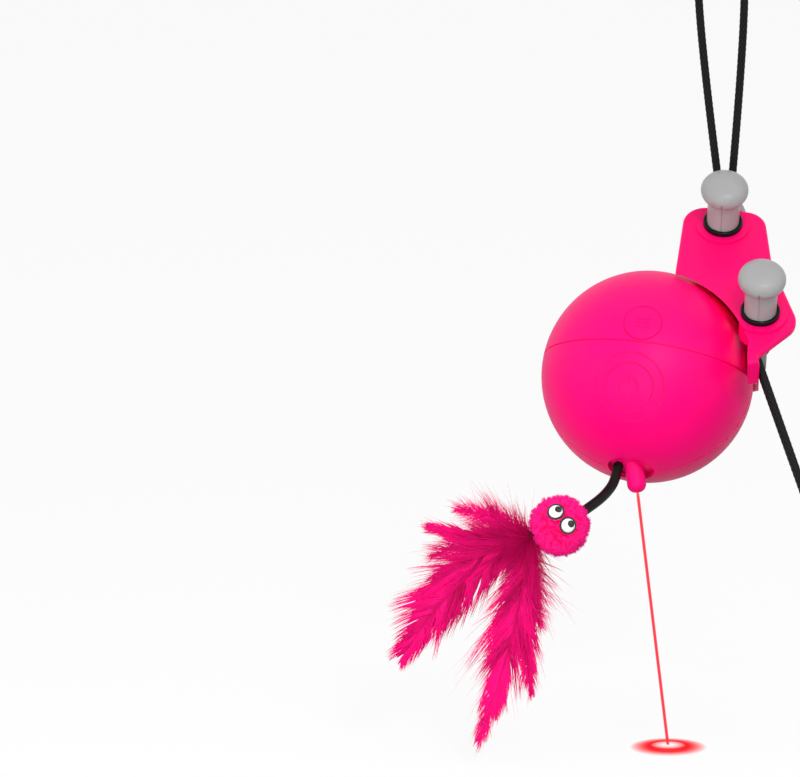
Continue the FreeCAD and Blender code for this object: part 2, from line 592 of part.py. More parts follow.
def gear_train():
    """Motor pinion, two compound gears and the turret gear; all axes are upright."""
    pinion = gear(PINION_N, -18.1, -15.4, AT_M, DIR_AM + math.pi, 0)
    parts["motor_pinion"] = pinion.fuse(cyl(0.75, 1.6, V(AT_M.x, AT_M.y, -15.5)))
    wheel_a = gear(WHEEL_N, -17.9, -15.9, AT_A, meshing(WHEEL_N, DIR_AM), AXLE_R + RUN_FIT)
    small_a = gear(PINION_N, -20.8, -17.9, AT_A, DIR_BA + math.pi, AXLE_R + RUN_FIT)
    parts["compound_gear_a"] = wheel_a.fuse(small_a).removeSplitter()
    wheel_b = gear(WHEEL_N, -20.4, -18.4, AT_B, meshing(WHEEL_N, DIR_BA), AXLE_R + RUN_FIT)
    small_b = gear(PINION_N, -24.0, -20.4, AT_B, math.pi, AXLE_R + RUN_FIT)
    parts["compound_gear_b"] = wheel_b.fuse(small_b).removeSplitter()
    parts["turret_gear"] = gear(TURRET_N, -23.4, -21.1, V(0, 0, 0), meshing(TURRET_N, 0), 2.0)

    top = cyl(29.3, 1.2, V(0, 0, PLATE_TOP_Z)).common(box(-22, 22, -12, 40, -20, 0))
    low = cyl(19.6, 1.1, V(0, 0, PLATE_LOW_Z)).common(box(-20, 20, -13, 20, -30, 0))
    post_at = (V(-14, 9, 0), V(-14, -8, 0), V(7.5, -10.4, 0))
    axles = []
    for at in (AT_A, AT_B):
        axles.append(cyl(AXLE_R, 11.2, V(at.x, at.y, PLATE_LOW_Z + 0.2)))
        top = top.cut(cyl(AXLE_R, 3, V(at.x, at.y, -16)))
        low = low.cut(cyl(AXLE_R, 3, V(at.x, at.y, -26)))
    top = top.cut(cyl(1.3, 3, V(AT_M.x, AT_M.y, -16))).cut(cyl(2.05, 3, V(0, 0, -16)))
    low = low.cut(cyl(2.05, 3, V(0, 0, -26)))
    parts["gear_plate_top"] = top
    parts["gear_plate_low"] = low
    parts["gear_axles"] = Part.makeCompound(axles)
    posts = [cyl(1.8, PLATE_TOP_Z - PLATE_LOW_Z - 1.1, at + V(0, 0, PLATE_LOW_Z + 1.1)) for at in post_at]
    parts["plate_posts"] = Part.makeCompound(posts)
    can = cyl(6.0, 14.8, V(AT_M.x, AT_M.y, -13.75))
    can = can.common(box(AT_M.x - 7, AT_M.x + 7, AT_M.y - 5, AT_M.y + 5, -20, 5))
    parts["motor"] = can.fuse(cyl(2.5, 0.6, V(AT_M.x, AT_M.y, 1.0)))


def turret():
    """Dome in the lower opening, with the laser nozzle and the plug of the wand."""
    dome = ball(INNER_R - 0.5).common(cyl(11.5, 12, V(0, 0, -38)))
    dome = dome.common(box(-20, 20, -20, 20, -40, -26.2))
    shaft = cyl(2.0, 12.3, V(0, 0, -26.3))
    aim = unit(NOZZLE_AIM)
    head = dome.fuse(shaft).removeSplitter()
    head = head.cut(cyl(NOZZLE_R, 20, NOZZLE_ROOT - aim * 1.2, aim))
    head = head.cut(cyl(2.6, 20, NOZZLE_ROOT - aim * 4.6, aim))
    wand_root = in_globe_frame(WAND_ROUTE[0])
    wand_dir = unit(wand_root)
    head = head.cut(cyl(1.3, 6, wand_dir * 29.3, wand_dir))
    parts["turret_head"] = head
    # the plug's domed end lets the wand tip to either side
    dome_at = wand_root.Length - 1.6
    stub = cyl(1.3, dome_at - 29.35, wand_dir * 29.35, wand_dir)
    parts["wand_plug"] = stub.fuse(ball(1.3, wand_dir * dome_at))
    nozzle = cyl(NOZZLE_R, NOZZLE_TIP + 1.2, NOZZLE_ROOT - aim * 1.2, aim)
    rim = max(nozzle.Edges, key=lambda edge: (edge.CenterOfMass - NOZZLE_ROOT).dot(aim))
    nozzle = nozzle.makeFillet(NOZZLE_ROUND, [rim])
    nozzle = nozzle.cut(cyl(2.6, NOZZLE_TIP - 2.2, NOZZLE_ROOT - aim * 1.2, aim))
    nozzle = nozzle.cut(cyl(1.3, 20, NOZZLE_ROOT, aim))
    parts["laser_nozzle"] = nozzle
    parts["laser_module"] = cyl(2.55, NOZZLE_TIP, NOZZLE_ROOT - aim * 4.5, aim)
    parts["laser_lens"] = cyl(2.5, 0.8, NOZZLE_ROOT + aim * (NOZZLE_TIP - 4.3), aim)


# ---------------------------------------------------------------- hanging frame
def leaf(root, tip, width, thick, lift):
    """Feather as a pointed leaf between two arcs, lifted toward the onlooker."""
    along = unit(tip - root)
    toward = V(0, -1, 0.2)
    y, z, x = axes_from(along, toward)
    length = (tip - root).Length
    tips = V(0, 0, 0), V(length, 0, 0)
    sides = [Part.Arc(tips[0], V(length * 0.5, s * width / 2, 0), tips[1]).toShape() for s in (1, -1)]
    face = Part.Face(Part.Wire(Part.__sortEdges__(sides)))
    face.translate(V(0, 0, -thick / 2))
    return moved(face.extrude(V(0, 0, thick)), frame(x, x.cross(y) * -1, y, root + y * lift))


def wand_and_lure():
    """Rubber wand, pompom with two eyes, and a bound tuft of feathers."""
    parts["wand"] = cord(WAND_ROUTE, WAND_R, "wand")
    pupils = []
    for side, away in EYES.items():
        out = unit(away)
        turn = FreeCAD.Placement(POMPOM_AT + out * (POMPOM_R - 0.1), FreeCAD.Rotation(V(0, 0, 1), out))
        parts["eye_" + side] = moved(oval_knob(EYE_R, 1.5, V(0, 0, 0)), turn)
        pupils.append(moved(oval_knob(1.2, 0.6, V(0.85, 0.5, 1.3)), turn))
    parts["pupils"] = Part.makeCompound(pupils)
    out = unit(TUFT_AT - POMPOM_AT)
    binding = cyl(1.9, 3.0, TUFT_AT - out * 0.5, out)
    parts["feather_binding"] = binding
    parts["pompom"] = ball(POMPOM_R, POMPOM_AT).cut(parts["wand"]).cut(binding)
    laid = [binding]
    for i, (name, (tip, width, thick)) in enumerate(FEATHERS.items()):
        start = TUFT_AT + out * 1.5 + unit(tip - TUFT_AT) * 0.6
        feather = leaf(start, tip, width, thick, (i - 2) * 0.8 if thick < 2 else (i - 3) * 1.6)
        for other in laid:
            feather = max(feather.cut(other).Solids, key=lambda solid: solid.Volume)
        laid.append(feather)
        parts[name] = feather


def strap():
    """Elastic strap: two loops, and the run through both locks."""
    strands = []
    joins = ((UPPER_LOOP[0], LOWER_LOOP[0]), (UPPER_LOOP[-1], LOWER_LOOP[-1]))
    for i, (far_end, near_end) in enumerate(joins):
        route = [far_end] + [BRACKET_PLACE.multVec(p) for p in INNER_STRANDS[i]] + [near_end]
        strands.append(cord(route, STRAP_R, "inner strand"))
    parts["strap_inner_run"] = Part.makeCompound(strands)
    parts["strap_upper_loop"] = cord(UPPER_LOOP, STRAP_R, "upper loop")
    parts["strap_lower_loop"] = cord(LOWER_LOOP, STRAP_R, "lower loop")
    loops = [parts["strap_upper_loop"], parts["strap_lower_loop"]]
    for name in ("bracket", "cord_guide", "cord_eyelet"):
        for strand in strands + loops:
            parts[name] = parts[name].cut(strand)


# ---------------------------------------------------------------- assembly
def place_new(builders, placement):
    """Run the builders and carry what they add into the model's axes."""
    before = set(parts)
    for build in builders:
        build()
    for name in parts:
        if name not in before:
            parts[name] = moved(parts[name], placement)


if __name__ == "__main__":
    os.makedirs("parts", exist_ok=True)
    swivel_dir = GLOBE_PLACE.inverse().Rotation.multVec(SWIVEL_AXIS)
    place_new([build_bracket_frame], BRACKET_PLACE)
    place_new([lambda: globe_shells(swivel_dir), front_controls, power_pack, electronics,
               gear_train, turret], GLOBE_PLACE)
    place_new([wand_and_lure], HANGING_PLACE)
    strap()
    for name, shape in parts.items():
        print(name, shape.ShapeType, len(shape.Solids), shape.isValid(), round(shape.Volume, 1))
        shape.exportStep("parts/" + name + ".step")
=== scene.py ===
# %% [markdown]
# # An automatic cat laser toy, piece by piece
# A ball with a motor inside swings a laser nozzle and a feather lure.  A moulded bracket
# carries the ball, and two push locks hold the bracket on an elastic strap.  The hard
# parts come as a fixed frame.  This lesson gives them their finishes, and makes the soft
# parts, because fluff, feathers and braid are what solids can't show.

# %% Load the frame
import json
import math

import bpy
import numpy as np
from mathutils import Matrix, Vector


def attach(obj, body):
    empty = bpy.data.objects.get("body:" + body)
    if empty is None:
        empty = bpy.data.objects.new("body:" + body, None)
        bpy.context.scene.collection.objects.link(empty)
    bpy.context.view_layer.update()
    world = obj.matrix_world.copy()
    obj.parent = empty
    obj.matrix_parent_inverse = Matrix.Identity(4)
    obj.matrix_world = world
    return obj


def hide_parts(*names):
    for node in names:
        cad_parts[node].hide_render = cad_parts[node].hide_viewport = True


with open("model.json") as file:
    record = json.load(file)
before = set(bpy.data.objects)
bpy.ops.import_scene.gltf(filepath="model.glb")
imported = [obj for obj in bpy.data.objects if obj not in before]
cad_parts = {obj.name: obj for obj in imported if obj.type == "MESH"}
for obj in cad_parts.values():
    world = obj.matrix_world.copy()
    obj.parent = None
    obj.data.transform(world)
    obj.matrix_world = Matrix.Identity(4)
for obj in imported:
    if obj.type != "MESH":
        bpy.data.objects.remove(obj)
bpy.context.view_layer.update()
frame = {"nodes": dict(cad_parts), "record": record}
MM = 0.001

# %% [markdown]
# ## Axes of the bracket and of the ball
# The bracket and the ball are both turned in space, each in its own way.  It is easier to
# think of a knob as upright in its own bracket, so each has three axes of its own and
# shares one origin, the middle of the ball.

# %% Axes of the bracket and of the ball
BALL_CENTRE = np.array([-23.5, -27.5, -132.0])


def unit(v):
    """The vector divided by its own length."""
    v = np.asarray(v, dtype=float)
    return v / np.linalg.norm(v, axis=-1, keepdims=True)


KNOB_UP = unit([0.030, -0.567, 0.8232])
SWIVEL = unit(np.cross([-0.2832, 0.785, 0.551], KNOB_UP))
KNOB_ROW = np.cross(KNOB_UP, SWIVEL)
BALL_UP = unit([0.155, 0.6055, 0.7811])
BALL_X = unit(np.cross([0.0749, 0.7812, -0.6204], BALL_UP))
BALL_BACK = np.cross(BALL_UP, BALL_X)


def from_bracket(p):
    """Bracket millimetres to model millimetres: centre + x*swivel + y*row + z*up."""
    return BALL_CENTRE + np.asarray(p, dtype=float) @ np.array([SWIVEL, KNOB_ROW, KNOB_UP])


def from_ball(p):
    """Ball millimetres to model millimetres: centre + x*side + y*back + z*up."""
    return BALL_CENTRE + np.asarray(p, dtype=float) @ np.array([BALL_X, BALL_BACK, BALL_UP])


# %% [markdown]
# ## The camera first
# The lens stands three metres away, eleven degrees above the ball, and looks a little to
# the left of it, so that the ball sits right of the middle.  Turning the camera is better
# than shifting the lens.

# %% Camera
CAMERA_M = 3.0
PX_PER_MM = 3.08
FRAME_W, FRAME_H = 800, 777
BALL_PX = (647.7, 375.5)
SENSOR_MM = 36.0
TOWARDS_EYE = np.array([0.0, -0.982, 0.191])
EYE_UP = np.array([0.0, 0.191, 0.982])
NEAR_M, FAR_M = 0.1, 40


def place_camera():
    """Axis = line to the ball, turned by the ball's offset in pixels over the focal length."""
    focal_px = PX_PER_MM * CAMERA_M / MM
    right_by = (BALL_PX[0] - FRAME_W / 2) / focal_px
    up_by = (FRAME_H / 2 - BALL_PX[1]) / focal_px
    axis = unit(-TOWARDS_EYE - right_by * np.array([1.0, 0, 0]) - up_by * EYE_UP)
    data = bpy.data.cameras.new("camera")
    data.sensor_width = SENSOR_MM
    data.lens = focal_px * SENSOR_MM / FRAME_W
    data.clip_start, data.clip_end = NEAR_M, FAR_M
    camera = bpy.data.objects.new("camera", data)
    bpy.context.scene.collection.objects.link(camera)
    camera.location = BALL_CENTRE * MM + unit(TOWARDS_EYE) * CAMERA_M
    camera.rotation_euler = Vector(axis).to_track_quat("-Z", "Y").to_euler()
    bpy.context.scene.camera = camera
    print("lens", round(data.lens, 1), "mm")


place_camera()

# %% [markdown]
# ## Meshes from points
# Most pieces here are a function of two numbers: how far along, and how far round.  The
# function is worked out for the whole grid at once, as one array of points.  This helper
# makes a mesh of the points and their faces.  It can also keep a number at each point,
# which a material reads later.

# %% Mesh from points
def smooth_mesh(name, points, faces, **values):
    """A mesh object from points in millimetres; values are floats per point."""
    mesh = bpy.data.meshes.new(name)
    mesh.from_pydata((points * MM).tolist(), [], faces)
    mesh.polygons.foreach_set("use_smooth", np.ones(len(mesh.polygons), dtype=bool))
    for key, value in values.items():
        layer = mesh.attributes.new(key, "FLOAT", "POINT")
        layer.data.foreach_set("value", np.ascontiguousarray(value, dtype=np.float32).ravel())
    mesh.update()
    piece = bpy.data.objects.new(name, mesh)
    bpy.context.scene.collection.objects.link(piece)
    return piece


# %% [markdown]
# ## Rings into a skin
# A grid of rings closes on itself round the second direction.  Each ring is joined to the
# next with quads, and both ends are drawn together into a pole, so the skin has no hole.

# %% Rings and poles
def ring_faces(rows, around):
    """Quads between each ring of points and the next, as rows of four indices."""
    i, j = np.meshgrid(np.arange(rows - 1), np.arange(around), indexing="ij")
    k = (j + 1) % around
    low, high = i * around, (i + 1) * around
    return np.stack([low + j, low + k, high + k, high + j], -1).reshape(-1, 4)


def closed_grid(name, grid, **values):
    """Rings of points joined into a skin, with one more point in the middle of each end."""
    rows, around, _ = grid.shape
    ends = np.stack([grid[0].mean(0), grid[-1].mean(0)])
    points = np.concatenate([grid.reshape(-1, 3), ends])
    j = np.arange(around)
    k = (j + 1) % around
    first, last = rows * around, rows * around + 1
    low = np.stack([np.full(around, first), k, j], -1)
    end = (rows - 1) * around
    high = np.stack([np.full(around, last), end + j, end + k], -1)
    faces = ring_faces(rows, around).tolist() + low.tolist() + high.tolist()
    full = {}
    for key, value in values.items():
        value = np.broadcast_to(value, grid.shape[:2])
        full[key] = np.concatenate([value.ravel(), [value[0].mean(), value[-1].mean()]])
    return smooth_mesh(name, points, faces, **full)


# %% [markdown]
# ## Tubes
# Strap, wand, quills and the beam are all tubes.  At each point of a centre line, one
# direction across the line and one at right angles to it span the ring.

# %% Tube
def along_line(line, side, radius, around, name, **values):
    """Tube: centre line + radius * (cos a * side + sin a * over), for the whole grid."""
    tangent = unit(np.gradient(line, axis=0))
    over = unit(np.cross(tangent, side))
    across = np.cross(over, tangent)
    a = np.linspace(0, 2 * np.pi, around, endpoint=False)
    r = np.broadcast_to(radius, (len(line), around))[..., None]
    spokes = np.cos(a)[None, :, None] * across[:, None] + np.sin(a)[None, :, None] * over[:, None]
    return closed_grid(name, line[:, None] + r * spokes, **values)


# %% [markdown]
# ## Cords as smooth routes
# An elastic cord under light tension is a smooth line with no corners.  A NURBS spline
# of order three with the route's corners as control points gives that line.  Blender
# works it out, and the tube's skin then follows the points it returns.

# %% Route to line
def smooth_route(route, step):
    """Points every step millimetres along the order-three spline of the route."""
    curve = bpy.data.curves.new("route", "CURVE")
    curve.dimensions = "3D"
    spline = curve.splines.new("NURBS")
    spline.points.add(len(route) - 1)
    flat = np.column_stack([np.asarray(route, dtype=float), np.ones(len(route))])
    spline.points.foreach_set("co", flat.ravel())
    spline.order_u = 3
    spline.use_endpoint_u = True
    spline.resolution_u = 48
    holder = bpy.data.objects.new("route", curve)
    bpy.context.scene.collection.objects.link(holder)
    bpy.context.view_layer.update()
    worked_out = holder.evaluated_get(bpy.context.evaluated_depsgraph_get())
    mesh = bpy.data.meshes.new_from_object(worked_out)
    line = np.empty(len(mesh.vertices) * 3)
    mesh.vertices.foreach_get("co", line)
    line = line.reshape(-1, 3)
    bpy.data.objects.remove(holder)
    bpy.data.meshes.remove(mesh)
    run = np.concatenate([[0], np.cumsum(np.linalg.norm(np.diff(line, axis=0), axis=1))])
    keep = np.linspace(0, run[-1], max(8, int(run[-1] / step) + 1))
    return np.column_stack([np.interp(keep, run, line[:, k]) for k in range(3)]), run[-1]


# %% [markdown]
# ## Braid
# The strap is elastic in a woven jacket of twelve yarns, six each way.  Seen as a map of
# how far round and how far along, the yarns are two sets of slanting stripes.  Where both
# stripes are at their middle, a yarn bulges, and every second cell belongs to the other
# set.  That height is added to the radius, so the braid is real shape.  The same height
# sets the colour too: painted shade in the grooves and painted highlight on the ridges.

# %% Strap
STRAP_R = 1.3
YARNS = 12
BRAID_PITCH = 0.95
BRAID_DEEP, BRAID_HIGH = 0.07, 0.10
SHARP, SOFT = 0.8, 0.3


def braid_height(count, length, around):
    """Height: sin(pi*fa)^p * sin(pi*fb)^q of two stripe counts, p and q swapped by cell."""
    s = np.linspace(0, length, count)[:, None] / BRAID_PITCH
    t = np.arange(around)[None] / around * YARNS
    a, b = (t + s) / 2, (t - s) / 2
    fa, fb = a % 1, b % 1
    even = (np.floor(a) + np.floor(b)) % 2 == 0
    ridge_a, ridge_b = np.sin(np.pi * fa), np.sin(np.pi * fb)
    return np.where(even, ridge_a ** SHARP * ridge_b ** SOFT, ridge_a ** SOFT * ridge_b ** SHARP)


def braided(name, route, side, step=0.19, around=48):
    """Braided cord along a route, and its centre line in metres with its length."""
    line, length = smooth_route(route, step)
    high = braid_height(len(line), length, around)
    radius = STRAP_R - BRAID_DEEP + BRAID_HIGH * high
    # the height is kept as the tone: painted shade in the grooves, painted highlight on the ridges
    piece = along_line(line, side, radius, around, name, tone=high)
    return piece, line * MM, length * MM


UPPER_LOOP = [(0.3, -0.6, -80.4), (-9.8, 0.0, -5.4), (-4.6, 0.0, 1.3),
              (3.9, 0.0, 1.3), (9.1, 0.0, -5.0), (3.0, 0.4, -80.0)]
LOWER_LOOP = [(11.74, -53.07, -121.0), (27.8, -69.4, -164.0), (29.6, -65.2, -169.9),
              (29.6, -57.8, -171.3), (27.8, -51.7, -167.4), (12.03, -51.38, -123.25)]
INNER_STRANDS = [
    [(36.2, 41.0, 25.4), (32.4, 37.0, 25.4), (32.4, -14.6, 25.4), (28.6, -22.3, 26.0)],
    [(39.1, 40.6, 25.4), (35.2, 37.0, 25.4), (35.2, -17.0, 25.4), (32.8, -20.3, 23.6),
     (29.0, -22.6, 23.0)]]

loops = {}
for name, route, side in (("upper", UPPER_LOOP, (0, 1, 0)), ("lower", LOWER_LOOP, (1, 0, 0))):
    piece, line, length = braided("braid_%s_loop" % name, route, side)
    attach(piece, "hanger")
    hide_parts("strap_%s_loop" % name)
    loops[name] = piece
    print(name, "loop", round(length * 1000, 1), "mm long")
for i, strand in enumerate(INNER_STRANDS):
    ends = [(UPPER_LOOP[0], LOWER_LOOP[0]), (UPPER_LOOP[-1], LOWER_LOOP[-1])][i]
    route = [ends[0]] + [from_bracket(p) for p in strand] + [ends[1]]
    piece, line, length = braided("braid_inner_%d" % (i + 1), route, SWIVEL)
    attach(piece, "hanger")
    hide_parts("strap_inner_run")
    loops["inner_%d" % i] = piece

# %% [markdown]
# ## Materials by recipe
# Every finish is one shader with three layers of noise: slow patches in the colour,
# the same patches in the gloss, and a fine grain that tilts the light.  Moulded plastic,
# rubber and metal differ only in the numbers, so one recipe makes them all.  Thin dyed
# fibres let light through, and a weak painted glow of their own colour stands for that and
# lifts them where they shade each other.  Where a piece has a tone at each point, the tone
# picks the colour; on strap, fluff and feathers that tone carries painted shade and light.

# %% Finish recipe
PATCHES_PER_M, PATCH_DETAIL = 90, 4
PATCH_LOW, PATCH_HIGH = 0.25, 0.6
GRAIN_DETAIL = 3
GRAIN_DEPTH = 0.25
GLOSS_SWING = 0.12
COAT_ROUGH = 0.12
TONE_NOISE = 0.35


def link(tree, a, out, b, into):
    """A wire from one node's output to another's input."""
    tree.links.new(a.outputs[out], b.inputs[into])


def noise(tree, where, scale, detail):
    """Noise on the piece's own coordinates, with scale patches in a metre."""
    made = tree.nodes.new("ShaderNodeTexNoise")
    made.inputs["Scale"].default_value = scale
    made.inputs["Detail"].default_value = detail
    link(tree, where, "Object", made, "Vector")
    return made


def tone_with_noise(tree, slow, tone):
    """Tone kept at the points, plus noise about its middle: tone + N * (noise - 1/2)."""
    attribute = tree.nodes.new("ShaderNodeAttribute")
    attribute.attribute_name = tone
    raised = tree.nodes.new("ShaderNodeMath")
    raised.operation = "MULTIPLY_ADD"
    link(tree, slow, "Fac", raised, 0)
    raised.inputs[1].default_value = TONE_NOISE
    link(tree, attribute, "Fac", raised, 2)
    shift = tree.nodes.new("ShaderNodeMath")
    shift.operation = "SUBTRACT"
    link(tree, raised, 0, shift, 0)
    shift.inputs[1].default_value = TONE_NOISE / 2
    return shift


def finish(name, colour, rough, grain=0.15, grain_mm=0.35, patch=0.04, metallic=0.0,
           coat=0.0, specular=0.5, painted_glow=0.0, transmission=0.0, deeper=None, tone=None):
    """Colour patches, gloss patches and a fine grain round one Principled shader."""
    mat = bpy.data.materials.new(name)
    mat.use_nodes = True
    tree = mat.node_tree
    shader = tree.nodes["Principled BSDF"]
    shader.inputs["Metallic"].default_value = metallic
    shader.inputs["Coat Weight"].default_value = coat
    shader.inputs["Coat Roughness"].default_value = COAT_ROUGH
    shader.inputs["Specular IOR Level"].default_value = specular
    # painted glow: the finish's own colour given off as light, for light that thin fibres let
    # through
    shader.inputs["Emission Strength"].default_value = painted_glow
    shader.inputs["Transmission Weight"].default_value = transmission
    where = tree.nodes.new("ShaderNodeTexCoord")
    slow = noise(tree, where, PATCHES_PER_M, PATCH_DETAIL)
    fine = noise(tree, where, 1 / (grain_mm * MM), GRAIN_DETAIL)
    ramp = tree.nodes.new("ShaderNodeValToRGB")
    deep = deeper or [c * (1 - 2.5 * patch) for c in colour]
    low, high = ramp.color_ramp.elements
    low.color, high.color = (*deep, 1), (*colour, 1)
    if tone:
        low.position, high.position = 0.0, 1.0
        link(tree, tone_with_noise(tree, slow, tone), 0, ramp, "Fac")
    else:
        low.position, high.position = PATCH_LOW, PATCH_HIGH
        link(tree, slow, "Fac", ramp, "Fac")
    link(tree, ramp, "Color", shader, "Base Color")
    link(tree, ramp, "Color", shader, "Emission Color")
    gloss = tree.nodes.new("ShaderNodeMapRange")
    gloss.inputs["To Min"].default_value = rough * (1 - GLOSS_SWING)
    gloss.inputs["To Max"].default_value = min(1.0, rough * (1 + GLOSS_SWING))
    link(tree, slow, "Fac", gloss, "Value")
    link(tree, gloss, "Result", shader, "Roughness")
    bump = tree.nodes.new("ShaderNodeBump")
    bump.inputs["Strength"].default_value = grain
    bump.inputs["Distance"].default_value = grain_mm * MM * GRAIN_DEPTH
    link(tree, fine, "Fac", bump, "Height")
    link(tree, bump, "Normal", shader, "Normal")
    return mat


# %% [markdown]
# ## Finishes of this toy
# The ball and the bracket are the same satin plastic in two slightly different pinks.
# Knobs are a smooth grey, collars a shiny rubber, and the strap's braid has painted shade
# in its grooves and painted highlight on its ridges.  What sits inside gets the finish that
# such parts usually have.

# %% Finishes
FINISHES = {
    "globe_pink": finish("globe pink", (0.97, 0.001, 0.180), 0.45, grain=0.08, patch=0.02,
                         specular=0.12),
    "bracket_pink": finish("bracket pink", (0.95, 0.001, 0.150), 0.40, grain=0.08, patch=0.02,
                           specular=0.12),
    "knob_grey": finish("knob grey", (0.35, 0.35, 0.355), 0.30, grain=0.06, specular=0.25),
    "collar_black": finish("collar rubber", (0.004, 0.004, 0.004), 0.22, specular=0.16),
    "inner_black": finish("inner nylon", (0.03, 0.03, 0.032), 0.5),
    "guide_grey": finish("guide nylon", (0.30, 0.305, 0.31), 0.45),
    # the braid's height as tone: painted shade in its grooves, painted highlight on its ridges
    "strap_black": finish("strap braid", (0.014, 0.014, 0.014), 0.60, specular=0.1, tone="tone",
                          deeper=(0.002, 0.002, 0.002)),
    "steel": finish("steel", (0.58, 0.58, 0.60), 0.28, metallic=1.0, grain=0.05),
    "spring_steel": finish("spring wire", (0.68, 0.68, 0.70), 0.2, metallic=1.0, grain=0.03),
    "brass": finish("brass", (0.74, 0.52, 0.24), 0.26, metallic=1.0, grain=0.05),
    "gear_white": finish("acetal", (0.82, 0.80, 0.74), 0.4, grain=0.05),
    "frame_white": finish("frame plastic", (0.74, 0.73, 0.70), 0.45),
    "board_green": finish("board", (0.02, 0.16, 0.06), 0.3, coat=0.3),
    "cell_jacket": finish("cell jacket", (0.10, 0.10, 0.12), 0.3, coat=0.3),
    "lens_clear": finish("lens", (0.95, 0.92, 0.93), 0.05, transmission=1.0, grain=0.0),
    "wand_black": finish("wand rubber", (0.008, 0.008, 0.008), 0.30, grain=0.08, specular=0.15),
    # pompom: the tone's dark end is painted shade at the fibre roots, and the glow painted light
    # through the yarn
    "pompom_pink": finish("pompom yarn", (1.0, 0.022, 0.34), 0.8, specular=0.06, tone="tone",
                          deeper=(0.86, 0.002, 0.13), painted_glow=0.25),
    # feathers: the tone's dark end is painted shade at roots and under-layer, the bright end and
    # glow painted light
    "feather_magenta": finish("feather", (1.0, 0.006, 0.23), 0.6, grain=0.0, specular=0.06,
                              tone="tone", deeper=(0.24, 0.001, 0.028), painted_glow=0.26),
    "eye_white": finish("eye felt", (0.86, 0.86, 0.85), 0.8, grain=0.5, grain_mm=0.25),
    "eye_black": finish("eye thread", (0.010, 0.010, 0.010), 0.45, grain=0.4, grain_mm=0.2),
}
slot_of = {row["node"]: row["material_slot"] for row in frame["record"]["subparts"]}


def dress(piece, slot_name):
    """Give the piece the finish of that slot."""
    piece.data.materials.clear()
    piece.data.materials.append(FINISHES[slot_name])


for name, node in frame["nodes"].items():
    dress(node, slot_of[name])
for piece in loops.values():
    dress(piece, "strap_black")
print("finishes:", len(FINISHES))

# %% [markdown]
# ## Rubber wand
# A flexible moulded rod.  It is the same kind of tube as the strap with no braid, and its
# end goes into the pompom.

# %% Wand
WAND_R = 1.65
WAND_ROUTE = np.array([(-9.3, -19.2, -25.3), (-10.2, -22.3, -29.8), (-13.1, -26.6, -33.3),
                       (-17.4, -31.6, -36.0), (-22.2, -35.8, -38.4)]) + BALL_CENTRE
line, length = smooth_route(WAND_ROUTE, 0.3)
wand = along_line(line, (1, 0, 0), WAND_R, 40, "wand_rod")
dress(wand, "wand_black")
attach(wand, "lure")
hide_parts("wand")
print("wand", round(length, 1), "mm")

# %% [markdown]
# ## Fibres
# Fluff and feathers are both made of hundreds of thin fibres.  A fibre here is a bent
# spike with three sides.  Its middle line is a quadratic: root + u*reach + u*u*bend.  All
# fibres of a piece are worked out together in one array.

# %% Spikes
THINNEST = 0.004


def spikes(name, root, reach, bend, width, flat, normal, tone, steps, thin):
    """Three-sided spikes: root + u*reach + u^2*bend, width*(1-u)^thin wide, flat share high."""
    count = len(root)
    u = np.linspace(0, 1, steps + 1)[None, :, None]
    mid = root[:, None] + u * reach[:, None] + u * u * bend[:, None]
    along = unit(reach[:, None] + 2 * u * bend[:, None])
    across = unit(np.cross(along, normal[:, None]))
    up = np.cross(across, along)
    w = (width[:, None, None] / 2) * (1 - u) ** thin + THINNEST
    corners = np.stack([mid + w * across, mid - w * across, mid + w * flat * up], 2)
    points = np.concatenate([corners[:, :-1].reshape(count, -1, 3), mid[:, -1:]], 1)
    per = steps * 3 + 1
    base = (np.arange(count) * per)[:, None, None]
    quads = ring_faces(steps, 3)[None] + base
    j = np.arange(3)
    last = (steps - 1) * 3
    cap = np.stack([last + j, last + (j + 1) % 3, np.full(3, steps * 3)], -1)[None] + base
    root_cap = np.array([[2, 1, 0]])[None] + base
    faces = (quads.reshape(-1, 4).tolist() + cap.reshape(-1, 3).tolist()
             + root_cap.reshape(-1, 3).tolist())
    level = np.concatenate([np.repeat(u[0, :-1, 0], 3), [1.0]])[None]
    shade = tone(level, np.arange(count)[:, None])
    return smooth_mesh(name, points.reshape(-1, 3), faces, tone=shade)


# %% [markdown]
# ## Pompom
# Dense cut yarn.  The fibres start evenly all over a ball, and their ends gather in small
# tufts.  A fibre belongs to the tuft whose middle is nearest, and is drawn towards it.

# %% Pompom
POMPOM_AT = BALL_CENTRE + np.array([-28.1, -40.8, -40.9])
POMPOM_R = 9.8
FLUFF_DEEP = 2.3
YARN_MM = 0.42
GATHERED = 0.58


def golden_ball(count):
    """Evenly spread directions: height 1 - 2k/n, turned by the golden angle each time."""
    k = np.arange(count) + 0.5
    z = 1 - 2 * k / count
    a = k * np.pi * (3 - math.sqrt(5))
    flat = np.sqrt(1 - z * z)
    return np.column_stack([flat * np.cos(a), flat * np.sin(a), z])


